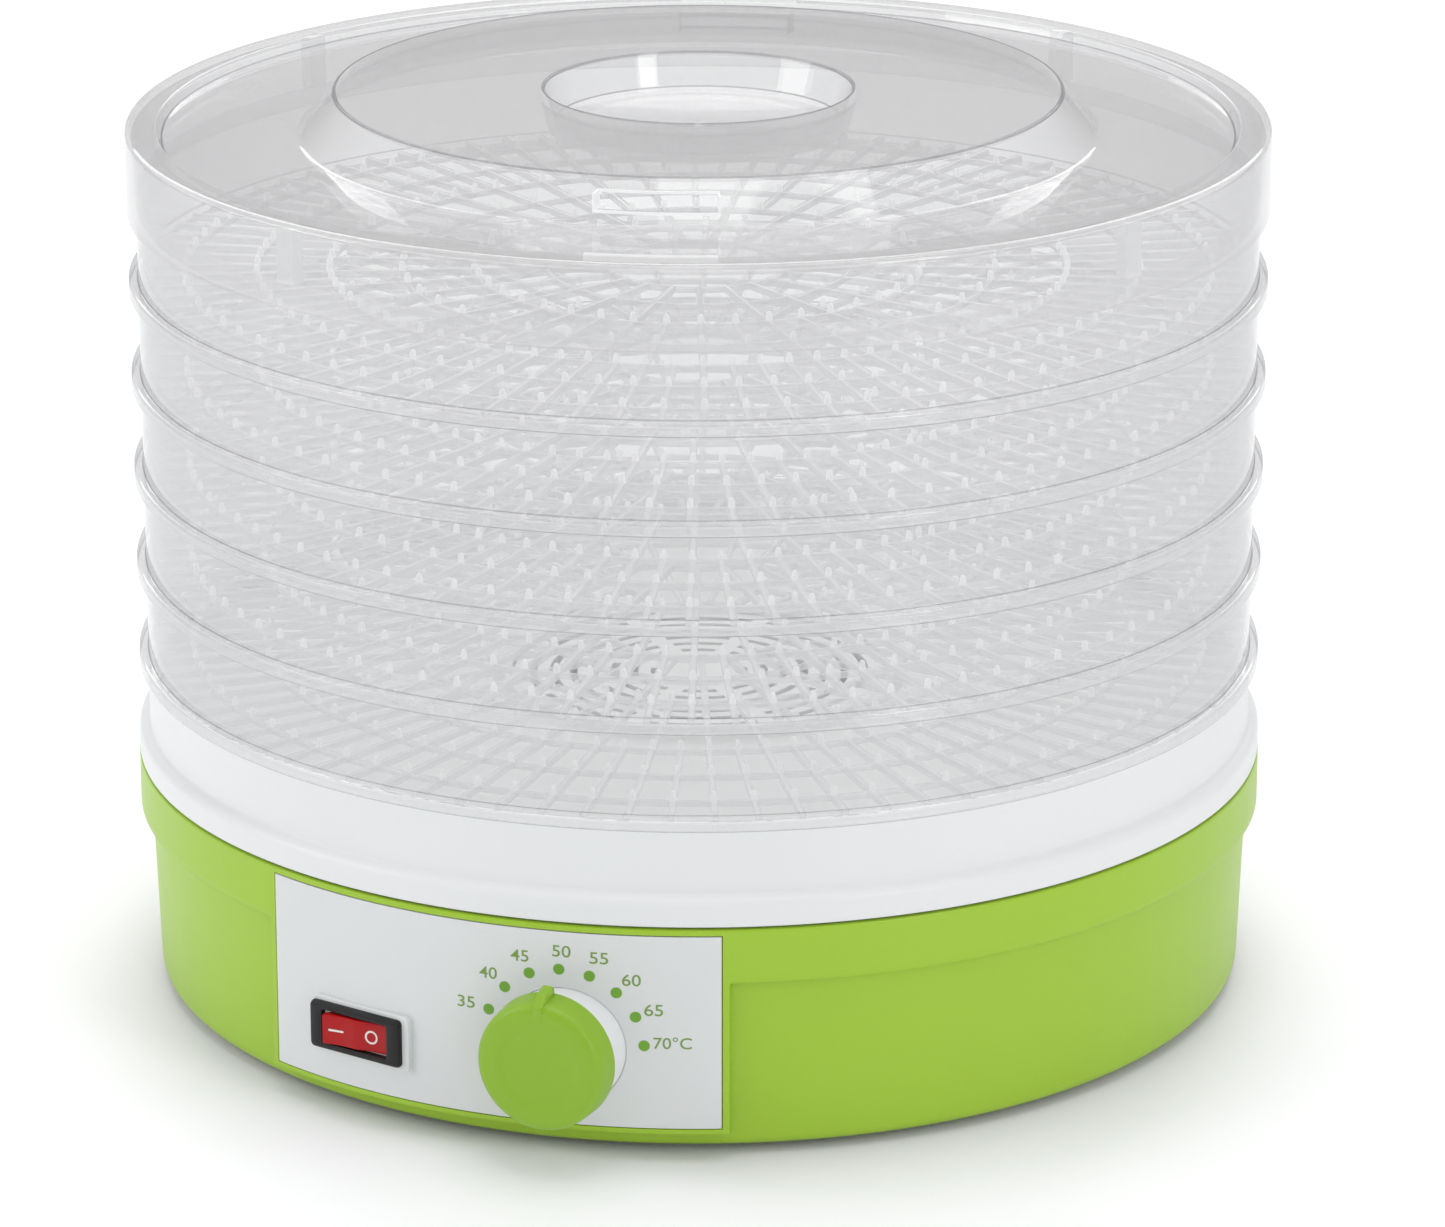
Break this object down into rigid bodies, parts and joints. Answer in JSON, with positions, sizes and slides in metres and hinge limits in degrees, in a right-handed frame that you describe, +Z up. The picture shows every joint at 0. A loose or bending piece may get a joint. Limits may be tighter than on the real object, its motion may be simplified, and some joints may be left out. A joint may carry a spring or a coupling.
{
  "type": "food dehydrator",
  "caption": "Round electric food dehydrator: fan and heater base with a thermostat dial and rocker switch, stacking clear trays and a clear lid.",
  "frame": {"origin": "on the table plane, on the vertical axis of the tray stack", "axes": "+Z up along the stack, -Y to the front with the control panel, +X to the right seen from the front"},
  "size_m": [0.3314, 0.347, 0.265],
  "materials": {
    "clear_plastic": "clear polished styrene",
    "green_plastic": "apple green, satin moulded",
    "knob_green": "apple green, satin moulded",
    "white_plastic": "white, satin moulded",
    "panel_white": "cool white, satin",
    "black_plastic": "black, moulded",
    "rocker_red": "red, polished",
    "steel": "zinc plated",
    "zinc_plate": "galvanised sheet",
    "lamination": "stacked sheet steel",
    "copper": "enamelled copper",
    "brass": "tinned brass",
    "phenolic": "phenolic resin",
    "mica": "mica board",
    "heating_wire": "dark nichrome",
    "ceramic_white": "matt",
    "foot_rubber": "matt black"
  },
  "bodies": {
    "base": {"base_shell": "green_plastic", "base_deck": "white_plastic", "outlet_grille": "white_plastic", "control_panel": "panel_white", "dial_boss": "panel_white", "thermostat_body": "phenolic", "thermostat_nut": "steel", "thermostat_bulb": "copper", "bulb_clip": "steel", "switch_housing": "black_plastic", "switch_pins": "steel", "switch_terminals": "brass", "motor_core": "lamination", "motor_winding": "copper", "upper_bearing_bracket": "steel", "lower_bearing_bracket": "steel", "motor_screws": "steel", "motor_plate": "zinc_plate", "plate_screws": "steel", "air_duct": "zinc_plate", "heater_frame": "mica", "heater_coil": "heating_wire", "thermal_fuse": "ceramic_white", "terminal_block": "ceramic_white", "cord_gland": "black_plastic", "rubber_feet": "foot_rubber", "housing_screws": "steel"},
    "knob": {"temperature_knob": "knob_green", "thermostat_shaft": "steel"},
    "rocker": {"switch_rocker": "rocker_red"},
    "fan": {"motor_rotor": "lamination", "motor_shaft": "steel", "fan_impeller": "black_plastic", "fan_nut": "steel"},
    "tray_body_1": {"tray_1": "clear_plastic"},
    "tray_body_2": {"tray_2": "clear_plastic"},
    "tray_body_3": {"tray_3": "clear_plastic"},
    "tray_body_4": {"tray_4": "clear_plastic"},
    "tray_body_5": {"tray_5": "clear_plastic"},
    "lid_body": {"lid": "clear_plastic"}
  },
  "joints": [
    {"name": "tray_1_lift", "type": "slide", "parent": "base", "child": "tray_body_1", "axis": [0, 0, 1], "range_m": [0, 0.05]},
    {"name": "tray_2_lift", "type": "slide", "parent": "tray_body_1", "child": "tray_body_2", "axis": [0, 0, 1], "range_m": [0, 0.05]},
    {"name": "tray_3_lift", "type": "slide", "parent": "tray_body_2", "child": "tray_body_3", "axis": [0, 0, 1], "range_m": [0, 0.05]},
    {"name": "tray_4_lift", "type": "slide", "parent": "tray_body_3", "child": "tray_body_4", "axis": [0, 0, 1], "range_m": [0, 0.05]},
    {"name": "tray_5_lift", "type": "slide", "parent": "tray_body_4", "child": "tray_body_5", "axis": [0, 0, 1], "range_m": [0, 0.05]},
    {"name": "lid_lift", "type": "slide", "parent": "tray_body_5", "child": "lid_body", "axis": [0, 0, 1], "range_m": [0, 0.06]},
    {"name": "knob_turn", "type": "hinge", "parent": "base", "child": "knob", "pos_m": [0.0251, -0.1713, 0.0326], "axis": [0, 1, 0], "range_deg": [-66, 88]},
    {"name": "rocker_tilt", "type": "hinge", "parent": "base", "child": "rocker", "pos_m": [-0.03724, -0.16002, 0.027], "axis": [0, 0, -1], "range_deg": [0, 16]},
    {"name": "fan_spin", "type": "hinge", "parent": "base", "child": "fan", "pos_m": [0, 0, 0.05], "axis": [0, 0, 1], "continuous": true}
  ]
}
